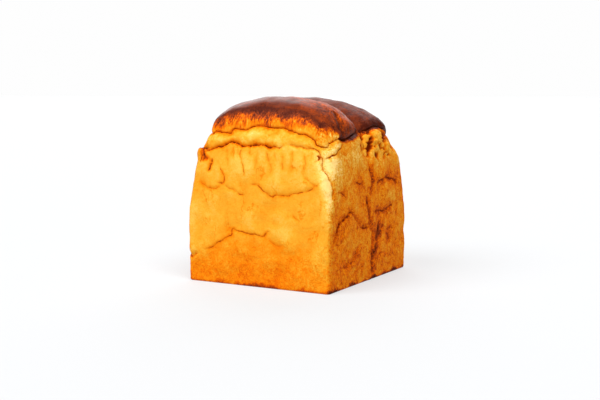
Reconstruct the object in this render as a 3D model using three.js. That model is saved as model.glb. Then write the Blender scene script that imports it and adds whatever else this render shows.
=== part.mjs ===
// A mountain-topped tin loaf: two rolled pieces of dough, proved side by side in an open square tin
// until they rose above its rim, and baked into one piece of bread.
//
// Frame: millimetres, +Z up, origin at the centre of the flat base. Both humps run along X, the way the
// rolls lay in the tin, with the front hump at -Y and the rear hump at +Y. The valley between them runs
// across the top along Y = 0 and down both ends.
import * as THREE from "three";
import { mergeVertices } from "three/addons/utils/BufferGeometryUtils.js";

// Driving dimensions, set by the tin.
const TIN_WIDTH = 121; // along X, the length of a roll
const TIN_DEPTH = 133.6; // along Y, two rolls side by side
const SHOULDER_HEIGHT = 78; // above this the crust was free of the tin and leans inwards

// How each roll rose above the tin. Its ridge is an arc along X, highest at the peak, with an extra droop
// at the ends.
const FRONT_ROLL = {
  side: -1,
  topHeight: 139.6,
  peakAlong: 3,
  radiusAlong: 143,
  droop: 9,
  valleyCorner: { tinRadius: 8, growth: 14, fromHeight: 72, toHeight: 124, curve: 1 },
};
const REAR_ROLL = {
  side: 1,
  topHeight: 138.8,
  peakAlong: -10,
  radiusAlong: 124,
  droop: 3.2,
  valleyCorner: { tinRadius: 8, growth: 25, fromHeight: 72, toHeight: 124, curve: 1 },
};

// The end and outer walls lean in by SHOULDER_INSET over SHOULDER_RISE, slowly at first.
const SHOULDER_INSET = 6;
const SHOULDER_RISE = 42;
const SHOULDER_CURVE = 1.8;

// Upright corners are tight where the tin held the dough and widen by "growth" where it rose freely. The
// loaf's four outer corners are alike, and the ones on the valley side are each roll's own.
const OUTER_CORNER = { tinRadius: 3, growth: 20, fromHeight: 40, toHeight: 118, curve: 1.2 };
const ROLL_OVERLAP = 8; // how far each roll was pressed past the middle of the tin
const SMALLEST_HALF_CORE = 1; // what a corner radius always leaves of a roll's half width

// The arc across a roll's crown.
const CROWN_RADIUS_ACROSS = 37;
const CROWN_STEEPEST = 0.93; // share of the crossways arc used before it runs on as a straight slope
const CROWN_EDGE_BLEND = 8; // how softly the crown turns down into the walls
const VALLEY_BLEND = 1.2;
const BASE_EDGE_BLEND = 1.6;

// Facets along each axis, and the core from which each vertex is pushed out to the crust.
const FACETS = { x: 20, y: 24, z: 22 };
const CORE = new THREE.Box3(new THREE.Vector3(-42, -48, 14), new THREE.Vector3(42, 48, 90));
const SHELL = new THREE.Box3(
  new THREE.Vector3(-TIN_WIDTH / 2, -TIN_DEPTH / 2, 0),
  new THREE.Vector3(TIN_WIDTH / 2, TIN_DEPTH / 2, 130),
);
const LONGEST_PUSH = 60;
const BISECTIONS = 30;
const BASE_SNAP = 1e-3; // vertices this close to the base lie exactly on it

const { clamp, smoothstep } = THREE.MathUtils;

// Larger (or smaller) of two distances, with the corner between them rounded over the given blend.
function roundedMax(a, b, blend) {
  const share = clamp(0.5 + (0.5 * (a - b)) / blend, 0, 1);
  return b + (a - b) * share + blend * share * (1 - share);
}

function roundedMin(a, b, blend) {
  return -roundedMax(-a, -b, blend);
}

function cornerRadius(corner, height) {
  const share = smoothstep(height, corner.fromHeight, corner.toHeight);
  return corner.tinRadius + corner.growth * share ** corner.curve;
}

function wallInset(height) {
  const rise = Math.max(height - SHOULDER_HEIGHT, 0) / SHOULDER_RISE;
  return SHOULDER_INSET * rise ** SHOULDER_CURVE;
}

// Distance outside one roll's upright walls, a rectangle with wider corners on the valley side.
// "across" is measured from the middle of the tin, outwards over this roll.
function outsideWalls(along, across, height, roll) {
  const inset = wallInset(height);
  const halfLength = TIN_WIDTH / 2 - inset;
  const outerWall = TIN_DEPTH / 2 - inset;
  const halfWidth = (outerWall + ROLL_OVERLAP) / 2;
  const fromMiddle = across - (outerWall - ROLL_OVERLAP) / 2;
  const corner = fromMiddle > 0 ? OUTER_CORNER : roll.valleyCorner;
  const radius = Math.min(cornerRadius(corner, height), halfWidth - SMALLEST_HALF_CORE);
  const pastLength = Math.abs(along) - halfLength + radius;
  const pastWidth = Math.abs(fromMiddle) - halfWidth + radius;
  const pastCorner = Math.hypot(Math.max(pastLength, 0), Math.max(pastWidth, 0));
  return pastCorner + Math.min(Math.max(pastLength, pastWidth), 0) - radius;
}

// Distance above one roll's crown, corrected for the slope so that the crust is evenly spaced.
function aboveCrown(along, across, height, roll) {
  const fromPeak = along - roll.peakAlong;
  const share = fromPeak / (TIN_WIDTH / 2);
  const fromRidge = Math.abs(across - TIN_DEPTH / 4);
  const arcEnd = CROWN_RADIUS_ACROSS * CROWN_STEEPEST;
  const onArc = Math.min(fromRidge, arcEnd);
  const arcDepth = Math.sqrt(CROWN_RADIUS_ACROSS ** 2 - onArc ** 2);
  const slopeAcross = onArc / arcDepth;
  const fallAcross = CROWN_RADIUS_ACROSS - arcDepth + slopeAcross * Math.max(fromRidge - arcEnd, 0);
  const fallAlong = fromPeak ** 2 / (2 * roll.radiusAlong) + roll.droop * share ** 4;
  const slopeAlong = fromPeak / roll.radiusAlong + (4 * roll.droop * share ** 3) / (TIN_WIDTH / 2);
  const rise = height - (roll.topHeight - fallAcross - fallAlong);
  return rise / Math.hypot(1, slopeAcross, slopeAlong);
}

function outsideRoll(point, roll) {
  const across = point.y * roll.side;
  return roundedMax(
    outsideWalls(point.x, across, point.z, roll),
    aboveCrown(point.x, across, point.z, roll),
    CROWN_EDGE_BLEND,
  );
}

// Below zero inside the bread, above zero outside it.
function outsideLoaf(point) {
  const front = outsideRoll(point, FRONT_ROLL);
  const rear = outsideRoll(point, REAR_ROLL);
  const rolls = roundedMin(front, rear, VALLEY_BLEND);
  return roundedMax(rolls, -point.z, BASE_EDGE_BLEND);
}

// Pushes a point of the shell's surface along the line from the core until it meets the crust.
function onCrust(shellPoint) {
  const start = CORE.clampPoint(shellPoint, new THREE.Vector3());
  const direction = shellPoint.clone().sub(start).normalize();
  let inside = 0;
  let outside = LONGEST_PUSH;
  for (let step = 0; step < BISECTIONS; step++) {
    const middle = (inside + outside) / 2;
    const probe = start.clone().addScaledVector(direction, middle);
    if (outsideLoaf(probe) < 0) inside = middle;
    else outside = middle;
  }
  return start.addScaledVector(direction, inside);
}

function loafGeometry() {
  const size = SHELL.getSize(new THREE.Vector3());
  const centre = SHELL.getCenter(new THREE.Vector3());
  const box = new THREE.BoxGeometry(size.x, size.y, size.z, FACETS.x, FACETS.y, FACETS.z);
  box.translate(centre.x, centre.y, centre.z);
  box.deleteAttribute("normal");
  box.deleteAttribute("uv");
  const geometry = mergeVertices(box);
  const positions = geometry.getAttribute("position");
  const vertex = new THREE.Vector3();
  for (let i = 0; i < positions.count; i++) {
    vertex.fromBufferAttribute(positions, i);
    const crust = onCrust(vertex);
    if (Math.abs(crust.z) < BASE_SNAP) crust.z = 0;
    positions.setXYZ(i, crust.x, crust.y, crust.z);
  }
  geometry.computeVertexNormals();
  return geometry;
}

function crustMaterial() {
  return new THREE.MeshStandardMaterial({ color: 0xd98a26, roughness: 0.7, metalness: 0 });
}

const tinLoaf = new THREE.Group();
const loaf = new THREE.Mesh(loafGeometry(), crustMaterial());
loaf.name = "loaf";
tinLoaf.add(loaf);

export default tinLoaf;
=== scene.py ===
import math

import bmesh
import bpy
import numpy as np
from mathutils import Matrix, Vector, noise


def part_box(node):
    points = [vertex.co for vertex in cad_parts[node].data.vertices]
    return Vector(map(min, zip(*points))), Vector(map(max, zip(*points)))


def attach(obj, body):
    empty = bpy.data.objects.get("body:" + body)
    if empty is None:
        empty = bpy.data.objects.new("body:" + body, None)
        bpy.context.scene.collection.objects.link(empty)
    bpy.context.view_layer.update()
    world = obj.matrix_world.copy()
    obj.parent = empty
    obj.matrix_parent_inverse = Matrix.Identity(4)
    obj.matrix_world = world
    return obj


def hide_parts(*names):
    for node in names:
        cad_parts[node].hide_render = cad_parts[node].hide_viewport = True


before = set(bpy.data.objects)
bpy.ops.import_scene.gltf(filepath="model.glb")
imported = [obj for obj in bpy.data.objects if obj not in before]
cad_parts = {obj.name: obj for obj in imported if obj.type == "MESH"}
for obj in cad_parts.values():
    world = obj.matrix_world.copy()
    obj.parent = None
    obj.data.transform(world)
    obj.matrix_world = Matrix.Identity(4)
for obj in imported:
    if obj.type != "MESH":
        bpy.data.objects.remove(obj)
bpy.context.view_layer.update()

# ------------------------------------------------------------------------------------------------
# The camera: a fairly long lens about 80 cm away and a little higher than the loaf, looking down
# at the corner between the broad front and the right end. Its angles are in degrees.
# ------------------------------------------------------------------------------------------------
lens_length = 60.2
camera_place = (0.3841, -0.6851, 0.1423)
tilt_down = 6.1
turn_from_front = 29.32
camera_data = bpy.data.cameras.new("camera")
camera_data.lens = lens_length
camera = bpy.data.objects.new("camera", camera_data)
camera.location = camera_place
camera.rotation_euler = (math.radians(90 - tilt_down), 0, math.radians(turn_from_front))
bpy.context.scene.collection.objects.link(camera)
bpy.context.scene.camera = camera

# ------------------------------------------------------------------------------------------------
# The loaf's form: two rolls of dough, proved side by side in a square tin until they stood above
# its rim. The tin makes the lower walls upright, and each roll rises out of it to a crown that
# falls towards both ends. The form is worked out in millimetres.
# ------------------------------------------------------------------------------------------------
MILLIMETRE = 0.001
box_low, box_high = (np.array(corner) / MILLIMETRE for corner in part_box("loaf"))
valley_blend = 1.2
base_edge_blend = 1.6
tin_width = box_high[0] - box_low[0] - valley_blend / 2
tin_depth = box_high[1] - box_low[1]

# Each roll: its side of the valley, its top, the peak, arc and end droop of its ridge, and how much
# its corners on the valley side widen as they rise.
rear_roll_lower = 0.8
front_roll = {"side": -1, "top": box_high[2], "peak": 3, "arc": 143, "droop": 9, "valley_growth": 14}
rear_roll = {"side": 1, "top": box_high[2] - rear_roll_lower, "peak": -10, "arc": 124, "droop": 3.2,
             "valley_growth": 25}
roll_overlap = 8

# Above the shoulder the walls lean in, slowly at first.
shoulder_height = 78
shoulder_inset = 6
shoulder_rise = 42
shoulder_curve = 1.8

# Upright corners are tight where the tin held the dough, and widen where it rose freely.
outer_radius = 3
outer_growth = 20
outer_growth_power = 1.2
outer_grows_between = (40, 118)
valley_radius = 8
valley_grows_between = (72, 124)
smallest_half_core = 1

crown_radius_across = 37
crown_steepest = 0.93
crown_edge_blend = 8


def smoothstep(value, low, high):
    """Rises smoothly from 0 at the low value to 1 at the high one."""
    share = np.clip((value - low) / (high - low), 0, 1)
    return share * share * (3 - 2 * share)


def rounded_max(first, second, blend):
    """The larger of two distances, with the corner between them rounded."""
    share = np.clip(0.5 + 0.5 * (first - second) / blend, 0, 1)
    return second + (first - second) * share + blend * share * (1 - share)


def outside_walls(along, across, height, roll):
    """How far a point is outside one roll's walls, which lean in above the tin."""
    above_tin = np.maximum(height - shoulder_height, 0) / shoulder_rise
    inset = shoulder_inset * above_tin**shoulder_curve
    outer_wall = tin_depth / 2 - inset
    half_length = tin_width / 2 - inset
    half_width = (outer_wall + roll_overlap) / 2
    from_middle = across - (outer_wall - roll_overlap) / 2
    outer_grown = smoothstep(height, *outer_grows_between) ** outer_growth_power
    outer_corner = outer_radius + outer_growth * outer_grown
    valley_corner = valley_radius + roll["valley_growth"] * smoothstep(height, *valley_grows_between)
    radius = np.where(from_middle > 0, outer_corner, valley_corner)
    radius = np.minimum(radius, half_width - smallest_half_core)
    past_length = np.abs(along) - half_length + radius
    past_width = np.abs(from_middle) - half_width + radius
    past_corner = np.hypot(np.maximum(past_length, 0), np.maximum(past_width, 0))
    return past_corner + np.minimum(np.maximum(past_length, past_width), 0) - radius


def above_crown(along, across, height, roll):
    """How far a point is above one roll's crown."""
    from_peak = along - roll["peak"]
    share = from_peak / (tin_width / 2)
    from_ridge = np.abs(across - tin_depth / 4)
    arc_end = crown_radius_across * crown_steepest
    on_arc = np.minimum(from_ridge, arc_end)
    arc_depth = np.sqrt(crown_radius_across**2 - on_arc**2)
    slope_across = on_arc / arc_depth
    fall_across = crown_radius_across - arc_depth
    fall_across = fall_across + slope_across * np.maximum(from_ridge - arc_end, 0)
    fall_along = from_peak**2 / (2 * roll["arc"]) + roll["droop"] * share**4
    slope_along = from_peak / roll["arc"] + 4 * roll["droop"] * share**3 / (tin_width / 2)
    rise = height - (roll["top"] - fall_across - fall_along)
    return rise / np.sqrt(1 + slope_across**2 + slope_along**2)


def outside_roll(points, roll):
    along, across, height = points[:, 0], points[:, 1] * roll["side"], points[:, 2]
    walls = outside_walls(along, across, height, roll)
    return rounded_max(walls, above_crown(along, across, height, roll), crown_edge_blend)


def outside_loaf(points):
    """Below zero inside the bread, above zero outside it."""
    front_one = outside_roll(points, front_roll)
    rear_one = outside_roll(points, rear_roll)
    rolls = -rounded_max(-front_one, -rear_one, valley_blend)
    return rounded_max(rolls, -points[:, 2], base_edge_blend)


halvings = 24


def meet_crust(inside, outside):
    """Where straight lines from points inside the bread to points outside it pass the crust."""
    low = np.zeros(len(inside))
    high = np.ones(len(inside))
    for _ in range(halvings):
        middle = (low + high) / 2
        in_bread = outside_loaf(inside + (outside - inside) * middle[:, None]) < 0
        low = np.where(in_bread, middle, low)
        high = np.where(in_bread, high, middle)
    return inside + (outside - inside) * low[:, None]


def outward(points):
    """The direction straight out of the crust, from the form's own slope."""
    step = 0.02
    slope = np.stack([outside_loaf(points + step * axis) - outside_loaf(points - step * axis)
                      for axis in np.eye(3)], axis=1)
    return slope / np.linalg.norm(slope, axis=1)[:, None]


# The mesh starts as a box with a square grid on each side, and each of its points moves straight
# out from a smaller core until it meets the crust.
grid_cuts = 128
box_height = 130
core_low = np.array([-42, -48, 14])
core_high = np.array([42, 48, 90])
longest_way_out = 60
grid = bmesh.new()
bmesh.ops.create_cube(grid, size=1)
bmesh.ops.subdivide_edges(grid, edges=grid.edges[:], cuts=grid_cuts, use_grid_fill=True)
loaf_mesh = bpy.data.meshes.new("tin_loaf")
grid.to_mesh(loaf_mesh)
grid.free()
shell = np.empty(len(loaf_mesh.vertices) * 3)
loaf_mesh.vertices.foreach_get("co", shell)
shell = shell.reshape(-1, 3) * (tin_width, tin_depth, box_height) + (0, 0, box_height / 2)
core = np.clip(shell, core_low, core_high)
away = (shell - core) / np.linalg.norm(shell - core, axis=1)[:, None]
crust = meet_crust(core, core + longest_way_out * away)

# ------------------------------------------------------------------------------------------------
# The folds: each roll of dough was folded and rolled up before it went into the tin, and where it
# swelled against the tin and against itself the crust kept creases, flaps and cracks. Each one is
# a line on the crust, with the dough puffed up between the lines like a pillow.
# ------------------------------------------------------------------------------------------------
folds = []
in_the_bread = 30
clear_of_the_bread = 90
long_stray = 0.9
short_stray = 0.7


def on_side(axis, side, places):
    """Points on one side of the loaf, given by the two coordinates seen when facing it."""
    inside = np.insert(np.array(places, float), axis, side * in_the_bread, axis=1)
    outside = inside.copy()
    outside[:, axis] = side * clear_of_the_bread
    return meet_crust(inside, outside)


def front(*places):
    return on_side(1, -1, places)


def back(*places):
    return on_side(1, 1, places)


def right(*places):
    return on_side(0, 1, places)


def left(*places):
    return on_side(0, -1, places)


def wander(points, size, seed):
    """Smooth random vectors, which change over about the given size."""
    places = [Vector(point) / size + Vector((seed, 0, 0)) for point in points]
    apart = Vector((0, 37.3, 21.7))
    return np.array([[noise.noise(place + part * apart) for part in range(3)] for place in places])


def lay_on_crust(points):
    """Moves points near the crust onto it, in three ever smaller steps."""
    for _ in range(3):
        points = points - outward(points) * outside_loaf(points)[:, None]
    return points


def smooth_line(corners):
    """A curve through the corners, with a point about every millimetre, that wanders a little."""
    padded = np.vstack([2 * corners[0] - corners[1], corners, 2 * corners[-1] - corners[-2]])
    line = []
    for before, start, end, after in zip(padded, padded[1:], padded[2:], padded[3:]):
        steps = max(1, round(np.linalg.norm(end - start)))
        for t in np.arange(steps) / steps:
            line.append(0.5 * (2 * start + (end - before) * t
                               + (2 * before - 5 * start + 4 * end - after) * t * t
                               + (3 * start - before - 3 * end + after) * t**3))
    line = lay_on_crust(np.array(line + [corners[-1]]))
    line = line + long_stray * wander(line, 5, 3.7) + short_stray * wander(line, 1.9, 9.1)
    return lay_on_crust(line)


def fold(*stretches, depth=1.5, reach=6, crack=0.6, stain=0.1, ledge=0, lip=0, fade=6):
    """Adds a fold: its depth, how far the dough beside it is drawn down, how dark its crack and the
    stain around it are, how far the side on the left of the line stands above the other, and how
    far it hangs over."""
    folds.append({"line": smooth_line(np.vstack(stretches)), "depth": depth, "reach": reach,
                  "crack": crack, "stain": stain, "ledge": ledge, "lip": lip, "fade": fade})


# The front: the crown's lower edge, the collar under it, and the arched panel below the collar.
fold(left((4, 101), (-10, 107), (-25, 112), (-38, 113)),
     front((-44, 113), (-40, 114), (-30, 113), (-25, 113), (-23, 116), (-13, 116), (-7, 118), (0, 119),
           (8, 118), (17, 117), (25, 116), (29, 114), (39, 113), (43, 110), (46, 107), (49, 105)),
     right((-57, 104), (-54, 107), (-50, 108), (-46, 110), (-42, 109)),
     depth=2.2, reach=7, crack=0.38, stain=0.18, ledge=0.8, lip=0.5)
fold(right((-46, 111), (-42, 110), (-35, 109), (-28, 110), (-22, 111), (-16, 113), (-9, 115)),
     depth=4.2, reach=7, crack=0.9, stain=0.25, ledge=0.8, lip=1.6, fade=3)
fold(left((-44, 96), (-54, 98)), front((-56, 100), (-51, 101), (-46, 101), (-42, 101)),
     depth=1.4, reach=9, crack=0.9, stain=0.15, ledge=-2.4, fade=5)
fold(front((-49, 101), (-48, 98), (-46, 95), (-43, 92)),
     depth=1.6, reach=6, crack=1.1, stain=0.7, fade=2)
fold(front((-51, 99), (-50, 94), (-51, 90)), depth=1.0, reach=4, crack=0.8, stain=0.3, fade=2)
fold(front((-47, 100), (-46, 95), (-48, 91)), depth=0.8, reach=4, crack=0.8, stain=0.5, fade=2)
fold(front((-39, 94), (-40, 90), (-41, 87), (-43, 83)),
     depth=1.2, reach=4, crack=0.9, stain=0.25, fade=3)
fold(front((-48, 98), (-41, 100), (-35, 102), (-30, 103), (-24, 106),
           (-19, 105), (-13, 103), (-4, 104), (3, 105), (10, 103), (16, 102)),
     depth=2.0, reach=6, crack=0.85, stain=0.35, ledge=-1.2, lip=-0.5)
fold(front((8, 104), (13, 104), (19, 103), (22, 106)), depth=1.2, reach=4, crack=0.5)
fold(front((24, 105), (34, 104), (40, 103), (46, 103), (49, 101), (51, 98), (53, 95), (53, 91),
           (55, 87), (57, 83), (59, 78), (60, 72), (60, 66)),
     depth=1.8, reach=5, crack=0.4, ledge=-0.7)
fold(front((-32, 91), (-31, 85), (-28, 80), (-29, 76), (-36, 75)), depth=0.5, reach=4, crack=0.45)
fold(front((-52, 77), (-45, 73), (-39, 71), (-34, 72), (-29, 76)), depth=0.5, reach=5, crack=0.3)
fold(front((-29, 77), (-25, 73), (-20, 71), (-13, 68), (-8, 68)), depth=0.5, reach=4, crack=0.4)
fold(front((-6, 74), (-1, 76), (4, 73), (9, 70), (13, 67), (17, 69), (24, 68),
           (29, 70), (38, 72), (47, 75), (54, 80)),
     depth=0.5, reach=4, crack=0.4)
fold(front((8, 72), (10, 69), (9, 66)), depth=0.6, reach=3, crack=0.4, fade=2)
fold(front((-11, 103), (-14, 99), (-13, 93), (-11, 87), (-11, 80)), depth=0.5, reach=3, crack=0.35)
fold(front((-27, 104), (-26, 97), (-25, 88)), depth=0.4, reach=4, crack=0.2)
fold(front((-20, 104), (-21, 98), (-19, 93)), depth=0.4, reach=3, crack=0.15)
fold(front((7, 103), (9, 96), (12, 89), (12, 82)), depth=0.5, reach=4, crack=0.25)
fold(front((0, 103), (0, 94), (-2, 86)), depth=0.4, reach=4, crack=0.15)
fold(front((-5, 103), (-6, 98), (-5, 94)), depth=0.4, reach=3, crack=0.2)
fold(front((15, 102), (15, 97), (17, 92)), depth=0.4, reach=3, crack=0.15)
fold(front((21, 102), (22, 94), (21, 84)), depth=0.5, reach=4, crack=0.25)
fold(front((30, 102), (29, 92), (31, 84)), depth=0.4, reach=4, crack=0.15)
fold(front((39, 101), (40, 92), (37, 84)), depth=0.5, reach=4, crack=0.2)
fold(front((45, 102), (45, 97), (43, 92)), depth=0.4, reach=3, crack=0.2)
fold(front((48, 99), (50, 96), (48, 94)), depth=1.0, reach=3, crack=0.7, fade=2)
fold(front((37, 86), (41, 82), (49, 77), (53, 75)), depth=0.5, reach=4, crack=0.2)
fold(front((30, 56), (31, 54), (35, 52), (38, 50)), depth=0.4, reach=3, crack=0.25, fade=3)
fold(front((-46, 25), (-40, 27), (-36, 29), (-32, 32), (-26, 35), (-22, 37), (-21, 42),
           (-15, 41), (-10, 40), (-1, 39), (6, 38), (9, 41), (13, 43)),
     depth=0.4, reach=4, crack=0.42, ledge=0.3)
fold(front((10, 38), (12, 34), (18, 32), (25, 33)), depth=0.5, reach=4, crack=0.2)
fold(left((-58, 22)), front((-60, 21), (-57, 18), (-54, 20), (-50, 21)),
     depth=1.4, reach=4, crack=0.5, ledge=-0.8)

# The right end: the rolls' ends meet in the valley line, and the front roll ends in a swirl.
fold(right((-12, 104), (-9, 101), (-6, 98), (-1, 95), (2, 92), (2, 87), (3, 82),
           (4, 77), (4, 72), (1, 68), (-1, 65)),
     depth=3.2, reach=8, crack=0.9, stain=0.18, ledge=-0.8)
fold(right((-1, 65), (-3, 61), (-3, 58), (0, 52), (1, 46), (1, 42), (5, 38),
           (5, 31), (4, 25), (5, 19), (5, 8), (5, 1)),
     depth=2.0, reach=7, crack=0.7, stain=0.15)
fold(right((-60, 33), (-58, 37), (-54, 43), (-50, 49), (-42, 52), (-34, 55), (-32, 55),
           (-30, 53), (-25, 49), (-20, 45), (-15, 42), (-9, 41), (-4, 41), (0, 42)),
     depth=1.1, reach=5, crack=0.8, ledge=-1.1, lip=-0.3)
fold(right((0, 43), (-1, 49), (-4, 54), (-4, 60)), depth=1.2, reach=4, crack=0.9, stain=0.15, fade=3)
fold(right((-59, 38), (-54, 34), (-49, 29)), depth=0.8, reach=3, crack=0.3, ledge=0.6)
fold(right((-18, 30), (-20, 25), (-27, 20), (-34, 16), (-44, 15)),
     depth=1.2, reach=10, crack=0.3, stain=0.12, ledge=0.7)
fold(right((19, 46), (16, 38), (13, 29), (8, 20), (7, 13)),
     depth=1.2, reach=8, crack=0.5, stain=0.3, ledge=0.5)
fold(right((25, 43), (20, 35), (16, 28)), depth=0.9, reach=6, crack=0.45, stain=0.25)
fold(right((12, 44), (10, 37), (12, 30)), depth=0.7, reach=5, crack=0.4, stain=0.2)
fold(right((30, 36), (34, 30), (35, 23)), depth=0.8, reach=9, crack=0.35, stain=0.22)
fold(right((-38, 108), (-41, 105), (-47, 102), (-51, 99)), front((56, 97), (53, 95)),
     depth=1.6, reach=5, crack=0.6, ledge=-0.5)
fold(right((-56, 72), (-50, 71), (-42, 68), (-41, 65)), depth=0.8, reach=4, crack=0.8)
fold(right((-26, 77), (-21, 76), (-15, 75), (-10, 77)), depth=1.0, reach=4, crack=0.9)
fold(right((10, 73), (17, 75), (24, 76), (29, 77), (40, 75), (50, 72), (53, 69)),
     depth=1.6, reach=6, crack=0.9, stain=0.12, ledge=0.6)
fold(right((7, 51), (17, 52), (24, 51), (31, 52), (43, 55)),
     depth=1.3, reach=5, crack=0.9, stain=0.12, ledge=0.4)
fold(right((31, 37), (38, 36), (45, 35)), depth=0.8, reach=4, crack=0.6)
fold(right((8, 13), (14, 17), (22, 18), (33, 15)), depth=0.7, reach=5, crack=0.25)

# The folds of the front crown's right end, and the rear crown's lower edge all the way round.
fold(right((-36, 129), (-38, 126), (-39, 122), (-40, 118), (-40, 114), (-39, 110)),
     depth=3.4, reach=6, crack=1.25, stain=0.25, ledge=-2.6, lip=-1.0, fade=3)
fold(right((-30, 118), (-30, 115), (-31, 112), (-34, 110)), depth=1.2, reach=4, crack=0.3, fade=3)
fold(right((6, 111), (10, 114), (16, 116), (21, 117), (27, 118), (32, 118), (37, 116), (48, 113)),
     back((54, 110), (46, 112), (34, 113), (20, 114), (6, 116), (-10, 115), (-26, 113), (-40, 111),
          (-50, 107)),
     left((52, 108), (36, 111), (22, 112), (12, 110), (4, 101)),
     depth=3.6, reach=8, crack=0.8, ledge=0.8, lip=1.2)

# The back, which lay against the tin like the front.
fold(back((57, 84), (52, 96), (42, 101), (28, 103), (12, 101), (-4, 104), (-20, 103), (-34, 100),
          (-46, 97)),
     left((60, 90), (54, 86)),
     depth=2.2, reach=7, crack=0.7, ledge=-0.9)
fold(back((30, 102), (28, 95), (31, 88)), depth=0.8, reach=5, crack=0.15)
fold(back((12, 101), (9, 92), (11, 80), (8, 72)), depth=0.8, reach=5, crack=0.25)
fold(back((-6, 103), (-5, 96)), depth=0.8, reach=5, crack=0.1)
fold(back((-21, 102), (-19, 90), (-24, 80)), depth=0.8, reach=5, crack=0.2)
fold(back((-36, 99), (-35, 92)), depth=0.6, reach=4, crack=0.1)
fold(back((57, 62), (46, 58), (33, 60), (22, 66), (8, 72)), depth=0.7, reach=5, crack=0.45)
fold(back((8, 72), (-2, 75), (-9, 72)), depth=0.6, reach=5, crack=0.4)
fold(back((-16, 64), (-27, 55), (-40, 53), (-52, 58)), depth=0.6, reach=5, crack=0.4)
fold(back((44, 14), (34, 23), (21, 27), (10, 36), (-4, 38)), depth=0.6, reach=5, crack=0.4, ledge=-0.3)
fold(back((10, 36), (7, 44)), depth=0.5, reach=4, crack=0.3, fade=3)
fold(back((-30, 22), (-38, 17), (-50, 18)), depth=0.6, reach=5, crack=0.3)

# The left end, with its own valley line and swirls.
fold(left((6, 102), (2, 97), (-2, 90), (0, 80), (-3, 71), (-1, 60)), depth=2.8, reach=8, crack=0.8)
fold(left((-1, 60), (2, 50), (-2, 37), (1, 24), (-1, 2)), depth=1.6, reach=7, crack=0.5)
fold(left((3, 56), (12, 63), (25, 66), (38, 61), (50, 50), (56, 38)),
     depth=1.3, reach=6, crack=0.6, ledge=0.9)
fold(left((20, 33), (28, 24), (38, 18), (47, 17)), depth=1.2, reach=7, crack=0.4, ledge=0.8)
fold(left((-1, 84), (-13, 88), (-27, 84), (-36, 74), (-38, 62), (-31, 53)),
     depth=1.3, reach=6, crack=0.7, ledge=0.6)
fold(left((-27, 84), (-38, 87), (-46, 84)), depth=0.8, reach=4, crack=0.5)
fold(left((-50, 38), (-41, 31), (-31, 32), (-22, 24)), depth=1.1, reach=5, crack=0.5)
fold(left((34, 98), (37, 90), (33, 82)), depth=0.9, reach=5, crack=0.4)
fold(left((-12, 12), (-17, 22), (-15, 30)), depth=0.7, reach=5, crack=0.3)


def measure(points, normals, line):
    """For each point, the gap to a line, the nearest place on it, how far that place is from the
    line's nearer end, and the way out of the line on the point's side: +1 for left, -1 for right."""
    gap = np.full(len(points), np.inf)
    foot = np.zeros_like(points)
    side = np.zeros(len(points))
    travelled = np.zeros(len(points))
    lengths = np.linalg.norm(np.diff(line, axis=0), axis=1)
    starts = np.concatenate([[0], np.cumsum(lengths)])
    for number, length in enumerate(lengths):
        heading = (line[number + 1] - line[number]) / length
        ahead = np.clip((points - line[number]) @ heading, 0, length)
        place = line[number] + ahead[:, None] * heading
        beside = points - place
        distance = np.linalg.norm(beside, axis=1)
        nearer = distance < gap
        gap[nearer] = distance[nearer]
        foot[nearer] = place[nearer]
        travelled[nearer] = starts[number] + ahead[nearer]
        left_of_line = np.einsum("ij,ij->i", np.cross(normals[nearer], heading), beside[nearer])
        side[nearer] = np.sign(left_of_line)
    return gap, foot, side, np.minimum(travelled, starts[-1] - travelled)


def points_near(points, line, reach):
    in_box = (points > line.min(axis=0) - reach) & (points < line.max(axis=0) + reach)
    return np.flatnonzero(in_box.all(axis=1))


# Grid points near a fold are drawn towards its line first, so that the crack can be narrow.
draw_in = 3.6
draw_in_curve = 0.75
straight_out = outward(crust)
nearest_gap = np.full(len(crust), draw_in)
moved = crust.copy()
for each in folds:
    near = points_near(crust, each["line"], draw_in)
    gap, foot, _, _ = measure(crust[near], straight_out[near], each["line"])
    closer = gap < nearest_gap[near]
    chosen = near[closer]
    nearest_gap[chosen] = gap[closer]
    keep = (gap[closer] / draw_in)[:, None] ** draw_in_curve
    moved[chosen] = foot[closer] + (crust[chosen] - foot[closer]) * keep
crust = lay_on_crust(moved)
straight_out = outward(crust)

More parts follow.
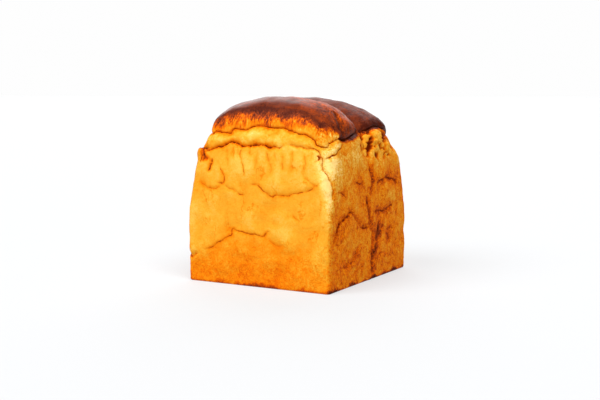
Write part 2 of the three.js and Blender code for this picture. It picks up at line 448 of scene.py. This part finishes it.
# Beside a fold a painted shade makes the crust a little darker for some way, in the crack it is
# darkest, and a ledge that stands out gets a painted highlight along its edge.
beside_reach = 12
beside_width = 6
crack_width = 0.5
faintest_crack = 0.3
darkest_crack = 1.25
stain_share = 0.4
ledge_highlight_strength = 0.1
ledge_highlight_place = 1.7
highest_highlit_ledge = 1.5
drawn_down = np.zeros(len(crust))
raised = np.zeros(len(crust))
crack = np.zeros(len(crust))
stain = np.zeros(len(crust))
painted_ledge_highlight = np.zeros(len(crust))
painted_shade_beside_fold = np.zeros(len(crust))
overhang = np.zeros_like(crust)
for each in folds:
    near = points_near(crust, each["line"], beside_reach)
    gap, foot, side, from_end = measure(crust[near], straight_out[near], each["line"])
    # Painted shade beside the fold, which darkens the crust on the ends.
    shade_beside = each["crack"] * smoothstep(from_end, -4, 8) * np.exp(-((gap / beside_width) ** 2))
    painted_shade_beside_fold[near] = np.maximum(painted_shade_beside_fold[near], shade_beside)

    within = gap < each["reach"]
    near, gap, foot = near[within], gap[within], foot[within]
    side, from_end = side[within], from_end[within]
    strength = smoothstep(from_end, -0.5, each["fade"])
    share = gap / each["reach"]
    pillow = 1 - np.sqrt(2 * share - share * share)
    drawn_down[near] = np.maximum(drawn_down[near], each["depth"] * strength * pillow)
    raised[near] += 0.5 * each["ledge"] * side * strength * (1 - smoothstep(share, 0, 1))
    hanging = np.where(side * each["lip"] > 0, abs(each["lip"]), 0) * strength
    hanging = hanging * 4 * share * (1 - share) ** 2
    overhang[near] += hanging[:, None] * (foot - crust[near]) / (gap[:, None] + 0.3)

    broken = 0.9 + 0.9 * wander(foot, 4.5, 5.3)[:, 0] + 0.8 * wander(foot, 1.2, 2.9)[:, 0]
    broken = np.clip(broken, faintest_crack, darkest_crack)
    in_crack = np.exp(-((gap / crack_width) ** 2))
    crack[near] = np.maximum(crack[near], each["crack"] * broken * strength * in_crack)
    around = np.exp(-((gap / (stain_share * each["reach"])) ** 2))
    stain[near] = np.maximum(stain[near], each["stain"] * (0.5 + 0.5 * broken) * strength * around)
    # A ledge that stands out gets a painted highlight along its edge.
    stands_out = np.clip(side * each["ledge"], 0, highest_highlit_ledge) * strength
    on_edge = np.exp(-((gap - ledge_highlight_place) ** 2))
    painted_ledge_highlight[near] = np.maximum(painted_ledge_highlight[near], ledge_highlight_strength * stands_out * on_edge)

# ------------------------------------------------------------------------------------------------
# The torn place: under the rear crown's right end the dough tore as it rose, and the crumb behind
# it baked into small lumps, with the pits between them painted dark as painted shade.
# ------------------------------------------------------------------------------------------------
x, y, z = crust.T
torn_along = 24
torn_half_length = 36
torn_height = 103
torn_half_height = 12.5
torn_depth = 4.4
from_middle = np.hypot((y - torn_along) / torn_half_length, (z - torn_height) / torn_half_height)
torn = smoothstep(1 - from_middle, 0, 0.35) * smoothstep(x, 42, 50)
lump_height = np.zeros(len(crust))
pit = np.ones(len(crust))

# Each lump: where it is on the right end, its width and how far it stands out.
for along, height, width, stands in ((-12, 109, 8, 4.6), (-3, 103, 9, 4.2), (2, 110, 7, 4.2),
                                     (10, 109, 9, 4.6), (6, 104, 7, 4.4), (21, 110, 18, 7.0),
                                     (19, 100, 9, 4.4), (29, 103, 8, 4.0), (36, 100, 14, 6.2),
                                     (9, 96, 10, 4.2), (23, 95, 11, 4.2), (33, 92, 9, 3.6),
                                     (44, 97, 10, 5.0), (50, 104, 9, 4.5), (15, 104, 6, 3.6),
                                     (13, 99, 7, 3.8), (28, 97, 6, 3.4), (42, 104, 8, 4.2),
                                     (3, 98, 6, 3.6), (-7, 106, 6, 4.0)):
    middle = right((along, height))[0]
    near = np.flatnonzero(np.linalg.norm(crust - middle, axis=1) < width)
    from_lump = np.linalg.norm((crust[near] - middle) / (width / 2), axis=1)
    reached = from_lump * (1 + 0.5 * wander(crust[near], 2.6, along)[:, 0])
    lump_height[near] = np.maximum(lump_height[near], stands * np.sqrt(np.maximum(1 - reached**2, 0)))
    pit[near] = np.minimum(pit[near], smoothstep(reached, 0.6, 1.05))

# Broad swellings and dents, where the dough pushed out or sank: the middle, width and height.
swollen = np.zeros(len(crust))
for middle, width, height in ((left((-50, 111)), 32, -2.2), (left((-57, 99)), 18, 1.7),
                              (right((50, 104)), 32, -3.2), (front((42, 116)), 20, 1.6),
                              (right((-27, 118)), 20, 1.4), (right((-50, 104)), 14, 1.2),
                              (right((-30, 100)), 30, 1.6), (right((-38, 40)), 34, 1.3),
                              (right((26, 84)), 24, 1.2), (right((30, 64)), 26, 1.2),
                              (back((20, 60)), 50, 1.0), (left((30, 70)), 36, 1.4),
                              (left((-28, 60)), 36, 1.2)):
    reached = np.linalg.norm(crust - middle[0], axis=1) / (width / 2)
    swollen += height * np.maximum(1 - reached**2, 0) ** 2

# The whole crust is uneven too, in broad and in smaller waves, down to the flat base.
broad_wave = 17
small_wave = 8
wave_height = 0.9
waves = np.array([noise.noise(place / broad_wave) + 0.5 * noise.noise(place / small_wave)
                  for place in map(Vector, crust)])
height_above = raised - drawn_down + wave_height * waves * smoothstep(z, 0, 12)
height_above = height_above - torn_depth * torn + torn * lump_height + swollen
positions = crust + straight_out * height_above[:, None] + overhang
positions[:, 2] = np.maximum(positions[:, 2], 0)
loaf_mesh.vertices.foreach_set("co", (positions * MILLIMETRE).ravel())

# ------------------------------------------------------------------------------------------------
# The bake, with painted light and shade added to it: the crown stood in the open heat and turned
# glossy dark brown, the front stayed golden behind the tin, and the ends and the foot of the walls
# took more colour.
# ------------------------------------------------------------------------------------------------
flat_way = straight_out[:, :2] / (np.linalg.norm(straight_out[:, :2], axis=1)[:, None] + 0.01)
on_front = np.maximum(-flat_way[:, 1], 0) ** 2
on_back = np.maximum(flat_way[:, 1], 0) ** 2
on_right = np.maximum(flat_way[:, 0], 0) ** 2
on_left = np.maximum(-flat_way[:, 0], 0) ** 2


def along_line(values, *corners):
    """The height of a line through the corners, at each value along it."""
    return np.interp(values, *zip(*corners))


def mark(name, values):
    """Keeps one number for each point of the crust, which the finish reads."""
    numbers = loaf_mesh.attributes.new(name, "FLOAT", "POINT").data
    numbers.foreach_set("value", values.astype(np.float32))


# Where the brown of the crown begins on each side, and how wide its fringe is. On the front and
# the back it wanders up and down, and over the top everything is brown.
brown_wander = 4
brown_over_top = 40
brown_from = on_front * along_line(x, (-52, 119), (-42, 123), (-29, 125), (-6, 127), (13, 126),
                                   (29, 125), (46, 122), (54, 116))
brown_from += on_right * along_line(y, (-60, 114), (-48, 117), (-39, 110), (-22, 110), (-10, 114),
                                    (5, 112), (10, 114), (20, 117), (34, 118), (48, 115))
brown_from += on_back * along_line(x, (-54, 110), (-30, 121), (0, 124), (30, 122), (54, 110))
brown_from += on_left * along_line(y, (-58, 122), (-30, 120), (-10, 110), (8, 107), (30, 117),
                                   (58, 112))
brown_from += brown_wander * (on_front + on_back) * wander(crust, 8, 8.8)[:, 0]
from_walls = np.minimum(tin_width / 2 - np.abs(x), tin_depth / 2 - np.abs(y))
brown_from -= brown_over_top * smoothstep(from_walls, 12, 20)
narrowest_fringe = 1
front_fringe = 9
right_fringe = 0.6
left_fringe = 4
fringe = narrowest_fringe + front_fringe * (on_front + on_back)
fringe += right_fringe * on_right + left_fringe * on_left
crown = smoothstep((z - brown_from) / fringe, -1, 1) * smoothstep(z, 70, 95)

# How dark each side is, from 0, pale gold, to 1, nearly black: mostly its bake, with painted shade
# and a painted highlight on the right end.
front_shade = 0.23
front_foot_darker = 0.165
crown_skirt_darker = 0.06
front_top_paler = 0.04
orange_below = along_line(x, (-60, 24), (-40, 28), (-22, 38), (6, 38), (16, 34), (34, 31), (56, 14))
crown_edge = along_line(x, (-52, 108), (-40, 112), (-24, 114), (-9, 118), (8, 118), (29, 114),
                        (43, 110), (50, 105))
front_body = front_shade + front_foot_darker * smoothstep(orange_below - z, -14, 24)
front_body += crown_skirt_darker * smoothstep(z - crown_edge, -1, 3)
front_body -= front_top_paler * smoothstep(z, 74, 86)

right_shade = 0.21
right_wall_bake_and_painted_shade = 0.20
right_foot_darker = 0.05
rear_roll_darker = 0.02
rear_bulge_paler = 0.06
front_edge_pale_and_highlight = 0.12
rear_bulge = np.exp(-(((y - 28) / 22) ** 2) - ((z - 62) / 16) ** 2)
# By the front edge the right end is paler crust, plus a painted highlight where light catches it.
front_edge = smoothstep(-44 - y, -8, 10) * smoothstep(z, 50, 80)
# Darker down the right end: more bake at the foot, and painted shade for less light from above.
right_body = right_shade + right_wall_bake_and_painted_shade * smoothstep(108 - z, 0, 40)
right_body += right_foot_darker * smoothstep(34 - z, 0, 26)
right_body += rear_roll_darker * smoothstep(y, -4, 8)
right_body -= rear_bulge_paler * rear_bulge + front_edge_pale_and_highlight * front_edge

other_shade = 0.30
other_foot_darker = 0.16
base_darker = 0.25
base_below = 5
other_body = other_shade + other_foot_darker * smoothstep(40 - z, -8, 20)
body = on_front * front_body + on_right * right_body + (on_back + on_left) * other_body
on_base = np.maximum(1 - on_front - on_back - on_right - on_left, 0) * (z < base_below)
body += base_darker * on_base

# The front right edge is palest: paler crust with a painted highlight where it catches the light.
# The waves get a painted highlight on their high places and painted shade on their low ones, the
# hollows of folds and the crust beside a fold on the ends get painted shade, ledge edges a painted
# highlight, and the rim at the foot is dark where it sat in the tin's corner.
corner_pale_and_highlight = 0.24
painted_wave_shading = 0.08
fold_hollow_painted_shade = 0.03
collar_paler = 0.03
painted_shade_beside_strength = 0.17
usual_beside = 0.25
rim_darker = 0.28
right_rim_darker = 0.24
rim_height = 1.6
# The front right edge: paler crust plus a painted highlight where it catches the light.
corner_height = 1 - 0.5 * smoothstep(z, 94, 102) - 0.5 * smoothstep(z, 102, 109)
corner_height = corner_height * smoothstep(z, 35, 75)
body -= corner_pale_and_highlight * 4 * on_front * on_right * corner_height
# Painted light and shade: the waves' high places are painted paler, their low places darker.
body -= painted_wave_shading * waves
collar = on_front * smoothstep(z, 99, 106) * (1 - crown)
# The hollows of folds get painted shade, and ledge edges their painted highlight.
body += fold_hollow_painted_shade * np.clip(drawn_down, 0, 3) - painted_ledge_highlight - collar_paler * collar
# Painted shade beside the folds on the ends.
body += painted_shade_beside_strength * (on_right + on_left) * (painted_shade_beside_fold - usual_beside)
rim_top = rim_height + 4 * wander(crust, 12, 1.7)[:, 0] + 2 * wander(crust, 3.3, 6.1)[:, 0]
body += (rim_darker + right_rim_darker * on_right) * smoothstep(rim_top - z, -2, 2)

# The crowns: darkest just above the fringe, with a painted sheen making their tops paler, and the
# rear one darker than the front one's end.
crown_shade = 0.98
crown_top_painted_sheen = 0.12
front_crown_end_paler = 0.17
rear_crown_darker = 0.03
rear_crown_from = 8
# The crown's top is painted paler, as a painted sheen.
crown_body = crown_shade - crown_top_painted_sheen * smoothstep(z - brown_from, 5, 18)
crown_body -= front_crown_end_paler * on_right * (y < rear_crown_from)
crown_body += rear_crown_darker * (y > rear_crown_from)
bake_and_painted_light = body * (1 - crown) + crown_body * crown

# The torn place has pale lumps, and painted shade makes the pits between them as dark as the
# cracks. The glaze is dull on the crown's right end and on the rear roll.
lump_shade = 0.22
pit_painted_shade = 0.58
pit_shade_as_crack = 0.9
end_duller = 0.7
rear_roll_duller = 0.3
# The pits are painted dark, as painted shade between the lumps.
bake_and_painted_light = bake_and_painted_light * (1 - torn) + torn * (lump_shade + pit_painted_shade * pit)
mark("bake_and_painted_light", bake_and_painted_light)
mark("crown", crown * (1 - torn))
mark("glaze", crown * (1 - torn) * (1 - end_duller * on_right)
     * (1 - rear_roll_duller * smoothstep(y, 0, rear_crown_from)))
mark("crack", np.maximum(crack, pit_shade_as_crack * torn * pit))
mark("stain", stain)
mark("collar", collar)

# How coarse the skin is: most on the ends, least on the front, the crowns and the torn place.
finest = 0.18
right_coarser = 0.82
left_coarser = 0.6
low_wall_coarser = 0.3
torn_finer = 0.4
crown_finer = 0.3
low_on_wall = (on_front + on_back) * smoothstep(32 - z, -8, 20)
coarse_here = finest + right_coarser * on_right + left_coarser * on_left
coarse_here = coarse_here + low_wall_coarser * low_on_wall - torn_finer * torn - crown_finer * crown
coarse_here = np.clip(coarse_here, finest, 1)
mark("coarse", coarse_here)
mark("puckered", coarse_here * smoothstep(z, 0, 4))

# The finish turns those numbers into colour, gloss and a fine relief.
dull_roughness = 0.68
crown_smoother = 0.26
bare_crust_shine = 0.02
usual_glaze = 0.47
glaze_roughness = 0.36
relief_height = 0.002
relief_strength = 0.7
crust_finish = bpy.data.materials.new("baked_crust")
crust_finish.use_nodes = True
nodes = crust_finish.node_tree.nodes
links = crust_finish.node_tree.links
nodes.clear()


def node(kind, **settings):
    """Adds a node to the finish."""
    made = nodes.new(kind)
    for key, value in settings.items():
        setattr(made, key, value)
    return made


def number_of(name):
    """One of the numbers kept on the crust."""
    return node("ShaderNodeAttribute", attribute_name=name).outputs["Fac"]


def plug(socket, value):
    """Links a socket to another one, or gives it a plain value."""
    if isinstance(value, bpy.types.NodeSocket):
        links.new(value, socket)
    else:
        socket.default_value = value


def calculate(operation, *values, clamp=False):
    made = node("ShaderNodeMath", operation=operation, use_clamp=clamp)
    for socket, value in zip(made.inputs, values):
        plug(socket, value)
    return made.outputs[0]


def grain(size, detail=3, stretch=(1, 1, 1), roughness=0.5, distortion=0.0):
    """Random light and dark, from about -0.5 to 0.5, with lumps of the given size in metres."""
    placed = node("ShaderNodeMapping")
    links.new(place.outputs["Object"], placed.inputs["Vector"])
    placed.inputs["Scale"].default_value = [1 / (size * s) for s in stretch]
    made = node("ShaderNodeTexNoise")
    links.new(placed.outputs["Vector"], made.inputs["Vector"])
    made.inputs["Scale"].default_value = 1
    made.inputs["Detail"].default_value = detail
    made.inputs["Roughness"].default_value = roughness
    made.inputs["Distortion"].default_value = distortion
    return calculate("SUBTRACT", made.outputs["Fac"], 0.5)


def linear_light(part):
    return part / 12.92 if part <= 0.04045 else ((part + 0.055) / 1.055) ** 2.4


def colour_steps(value, *steps):
    """Turns a number into a colour. Each step is a place from 0 to 1 and a 0 to 255 colour."""
    made = node("ShaderNodeValToRGB")
    links.new(value, made.inputs["Fac"])
    ramp = made.color_ramp.elements
    while len(ramp) < len(steps):
        ramp.new(0.5)
    for element, (position, colour) in zip(ramp, steps):
        element.position = position
        element.color = [linear_light(part / 255) for part in colour] + [1]
    return made.outputs["Color"]


# Patterns in the crust: streaks and tongues run down the crown's lower edge, patches, mottling and
# granules cover the walls, and fine wrinkles show where the skin dried.
place = node("ShaderNodeTexCoord")
streaks = grain(0.0012, detail=3, stretch=(1, 1, 8), roughness=0.6, distortion=0.2)
tongues = grain(0.005, detail=2, stretch=(1, 1, 2.5))
patches = grain(0.016, detail=3, roughness=0.6)
mottle = grain(0.005, detail=5, roughness=0.65)
granules = calculate("MAXIMUM", grain(0.0016, detail=2, roughness=0.6, distortion=1.4), -0.07)
sheen_streaks = grain(0.0035, detail=4, stretch=(6, 1, 1), roughness=0.65)
wrinkles = grain(0.014, detail=4, stretch=(1, 1, 1.7), roughness=0.6)
wrinkle_sharpness = 45
off_line = calculate("MULTIPLY", calculate("ABSOLUTE", wrinkles), wrinkle_sharpness)
fine_lines = calculate("SUBTRACT", 1, off_line, clamp=True)
fine_lines = calculate("MULTIPLY", fine_lines, calculate("MULTIPLY_ADD", patches, 6, 0.2, clamp=True))
collar_blotches = grain(0.006, detail=3, stretch=(1.6, 1, 1), roughness=0.6)
crown_here = number_of("crown")
coarse = number_of("coarse")
crown_edge_here = calculate("MULTIPLY", crown_here, calculate("SUBTRACT", 1, crown_here))

# Each pattern makes the colour number darker and lighter, by its own strength in each place.
shade = number_of("bake_and_painted_light")
for pattern, strength in ((streaks, calculate("MULTIPLY", crown_edge_here, 5.4)),
                          (tongues, calculate("MULTIPLY", crown_edge_here, 2.8)),
                          (patches, 0.14),
                          (mottle, calculate("MULTIPLY_ADD", coarse, 0.6, 0.06)),
                          (granules, calculate("MULTIPLY_ADD", coarse, 1.2, 0.04)),
                          (granules, calculate("MULTIPLY", crown_here, 0.25)),
                          (sheen_streaks, calculate("MULTIPLY", crown_here, 0.5)),
                          (collar_blotches, calculate("MULTIPLY", number_of("collar"), 0.5)),
                          (fine_lines, 0.14),
                          (number_of("stain"), 1.0)):
    shade = calculate("ADD", shade, calculate("MULTIPLY", pattern, strength))

# The colours of bread as it bakes, from pale gold through orange to dark brown, and of its cracks.
colours = colour_steps(shade, (0.00, (248, 207, 124)), (0.10, (240, 184, 80)), (0.22, (228, 158, 41)),
                       (0.35, (228, 130, 14)), (0.48, (222, 106, 4)), (0.60, (200, 80, 4)),
                       (0.72, (150, 58, 14)), (0.84, (110, 43, 18)), (1.00, (74, 24, 11)))
crack_colour = colour_steps(number_of("crack"), (0.0, (222, 120, 12)), (0.35, (190, 84, 6)),
                            (0.65, (140, 48, 4)), (1.0, (72, 18, 3)))
darker = node("ShaderNodeMix", data_type="RGBA", blend_type="DARKEN")
links.new(calculate("MULTIPLY_ADD", number_of("crack"), 3.0, -0.3, clamp=True), darker.inputs["Factor"])
links.new(colours, darker.inputs["A"])
links.new(crack_colour, darker.inputs["B"])

shader = node("ShaderNodeBsdfPrincipled")
links.new(darker.outputs["Result"], shader.inputs["Base Color"])
roughness = calculate("MULTIPLY_ADD", crown_here, -crown_smoother, dull_roughness)
roughness = calculate("ADD", roughness, calculate("MULTIPLY", sheen_streaks, 0.3))
links.new(roughness, shader.inputs["Roughness"])
shader.inputs["Specular IOR Level"].default_value = bare_crust_shine
shader.inputs["Coat Roughness"].default_value = glaze_roughness
glaze = calculate("ADD", sheen_streaks, usual_glaze)
links.new(calculate("MULTIPLY", number_of("glaze"), glaze, clamp=True), shader.inputs["Coat Weight"])
bump = node("ShaderNodeBump")
bump.inputs["Distance"].default_value = relief_height
bump.inputs["Strength"].default_value = relief_strength
relief = calculate("MULTIPLY", calculate("ADD", granules, calculate("MULTIPLY", mottle, 0.8)), coarse)
relief = calculate("ADD", relief, calculate("MULTIPLY", fine_lines, -0.12))
links.new(relief, bump.inputs["Height"])
links.new(bump.outputs["Normal"], shader.inputs["Normal"])
output = node("ShaderNodeOutputMaterial")
links.new(shader.outputs["BSDF"], output.inputs["Surface"])

# ------------------------------------------------------------------------------------------------
# The skin: the outermost crust is a thin layer of dried dough, which drew together in small puckers
# as it baked. They are coarse on the ends, and fine on the front and the crowns.
# ------------------------------------------------------------------------------------------------
puckers = bpy.data.node_groups.new("crust_puckers", "GeometryNodeTree")
inputs = {}
for name, kind, value in (("Geometry", "NodeSocketGeometry", None),
                          ("Pucker height", "NodeSocketFloat", 0.0014),
                          ("Pucker size", "NodeSocketFloat", 0.0042),
                          ("Seed", "NodeSocketFloat", 4.0),
                          ("Crust", "NodeSocketMaterial", None)):
    socket = puckers.interface.new_socket(name, in_out="INPUT", socket_type=kind)
    if value is not None:
        socket.default_value = value
    inputs[name] = socket.identifier
puckers.interface.new_socket("Geometry", in_out="OUTPUT", socket_type="NodeSocketGeometry")


def add(kind, operation=None, **plugs):
    """Adds a node to the tree; each plug is a socket to link from or a plain value."""
    made = puckers.nodes.new(kind)
    if operation:
        made.operation = operation
    for name, value in plugs.items():
        socket = made.inputs[int(name[1:])] if name[0] == "_" else made.inputs[name]
        if isinstance(value, bpy.types.NodeSocket):
            puckers.links.new(value, socket)
        else:
            socket.default_value = value
    return made


entry = add("NodeGroupInput")
where = add("GeometryNodeInputPosition")
straight = add("GeometryNodeInputNormal")
rough = puckers.nodes.new("ShaderNodeTexNoise")
rough.noise_dimensions = "4D"
rough.inputs["Detail"].default_value = 2.0
per_size = add("ShaderNodeMath", "DIVIDE", _0=1.0, _1=entry.outputs["Pucker size"])
puckers.links.new(where.outputs[0], rough.inputs["Vector"])
puckers.links.new(per_size.outputs[0], rough.inputs["Scale"])
puckers.links.new(entry.outputs["Seed"], rough.inputs["W"])
centred = add("ShaderNodeMath", "SUBTRACT", _0=rough.outputs["Fac"], _1=0.5)
tall = add("ShaderNodeMath", "MULTIPLY", _0=centred.outputs[0], _1=entry.outputs["Pucker height"])
how_coarse = add("GeometryNodeInputNamedAttribute", Name="puckered")
varied = add("ShaderNodeMath", "MULTIPLY", _0=tall.outputs[0], _1=how_coarse.outputs[0])
push = add("ShaderNodeVectorMath", "SCALE", _0=straight.outputs[0], Scale=varied.outputs[0])
shift = add("GeometryNodeSetPosition", Geometry=entry.outputs["Geometry"], Offset=push.outputs[0])
smooth = add("GeometryNodeSetShadeSmooth", Geometry=shift.outputs[0])
real = add("GeometryNodeRealizeInstances", Geometry=smooth.outputs[0])
painted = add("GeometryNodeSetMaterial", Geometry=real.outputs[0], Material=entry.outputs["Crust"])
add("NodeGroupOutput", Geometry=painted.outputs[0])

loaf = bpy.data.objects.new("tin_loaf", loaf_mesh)
bpy.context.scene.collection.objects.link(loaf)
modifier = loaf.modifiers.new("crust_puckers", "NODES")
modifier.node_group = puckers
modifier[inputs["Crust"]] = crust_finish
finished = bpy.data.meshes.new_from_object(loaf.evaluated_get(bpy.context.evaluated_depsgraph_get()))
loaf.modifiers.clear()
loaf.data = finished

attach(loaf, "root")
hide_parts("loaf")

# ------------------------------------------------------------------------------------------------
# The table and the light: a wide white table in a white room, lit by very large soft lamps, the
# brightest from the front left. The table top glows a little, so shadows on it stay pale.
# ------------------------------------------------------------------------------------------------
table_half = 30
table_colour = (0.25, 0.257, 0.265, 1)
table_roughness = 0.9
table_shine = 0.1
table_glow = 0.54
white = (1, 1, 1, 1)
table_mesh = bpy.data.meshes.new("table")
table_corners = [(-table_half, -table_half, 0), (table_half, -table_half, 0),
                 (table_half, table_half, 0), (-table_half, table_half, 0)]
table_mesh.from_pydata(table_corners, [], [(0, 1, 2, 3)])
table = bpy.data.objects.new("table", table_mesh)
bpy.context.scene.collection.objects.link(table)
table_finish = bpy.data.materials.new("table_white")
table_finish.use_nodes = True
table_shader = table_finish.node_tree.nodes["Principled BSDF"]
table_shader.inputs["Base Color"].default_value = table_colour
table_shader.inputs["Roughness"].default_value = table_roughness
table_shader.inputs["Specular IOR Level"].default_value = table_shine
table_shader.inputs["Emission Color"].default_value = white
table_shader.inputs["Emission Strength"].default_value = table_glow
table_mesh.materials.append(table_finish)

# The room is white where the camera sees it, and gives off less light than that.
room_strength = 0.2
wall_colour = (0.99, 0.99, 0.99, 1)
room = bpy.data.worlds.new("white_room")
bpy.context.scene.world = room
room.use_nodes = True
room_nodes = room.node_tree.nodes
room_links = room.node_tree.links
room_light = room_nodes["Background"]
room_light.inputs["Color"].default_value = white
room_light.inputs["Strength"].default_value = room_strength
room_wall = room_nodes.new("ShaderNodeBackground")
room_wall.inputs["Color"].default_value = wall_colour
seen = room_nodes.new("ShaderNodeLightPath")
either = room_nodes.new("ShaderNodeMixShader")
room_links.new(seen.outputs["Is Camera Ray"], either.inputs[0])
room_links.new(room_light.outputs[0], either.inputs[1])
room_links.new(room_wall.outputs[0], either.inputs[2])
room_links.new(either.outputs[0], room_nodes["World Output"].inputs["Surface"])


def soft_lamp(name, azimuth, elevation, strength, spread, mirrored):
    """A very large soft lamp far away. The angles, in degrees, say where it stands and how wide it
    looks, and mirrored says whether it shows in the glaze."""
    data = bpy.data.lights.new(name, "SUN")
    data.energy = strength
    data.angle = math.radians(spread)
    lamp = bpy.data.objects.new(name, data)
    lamp.rotation_euler = (math.radians(90 - elevation), 0, math.radians(azimuth))
    lamp.visible_glossy = mirrored
    bpy.context.scene.collection.objects.link(lamp)


soft_lamp("key", azimuth=-30, elevation=46, strength=2.65, spread=40, mirrored=False)
soft_lamp("side_fill", azimuth=56, elevation=54, strength=2.4, spread=30, mirrored=False)
soft_lamp("backdrop_glow", azimuth=205, elevation=34, strength=1.7, spread=60, mirrored=True)

bpy.context.scene.view_settings.view_transform = "Standard"
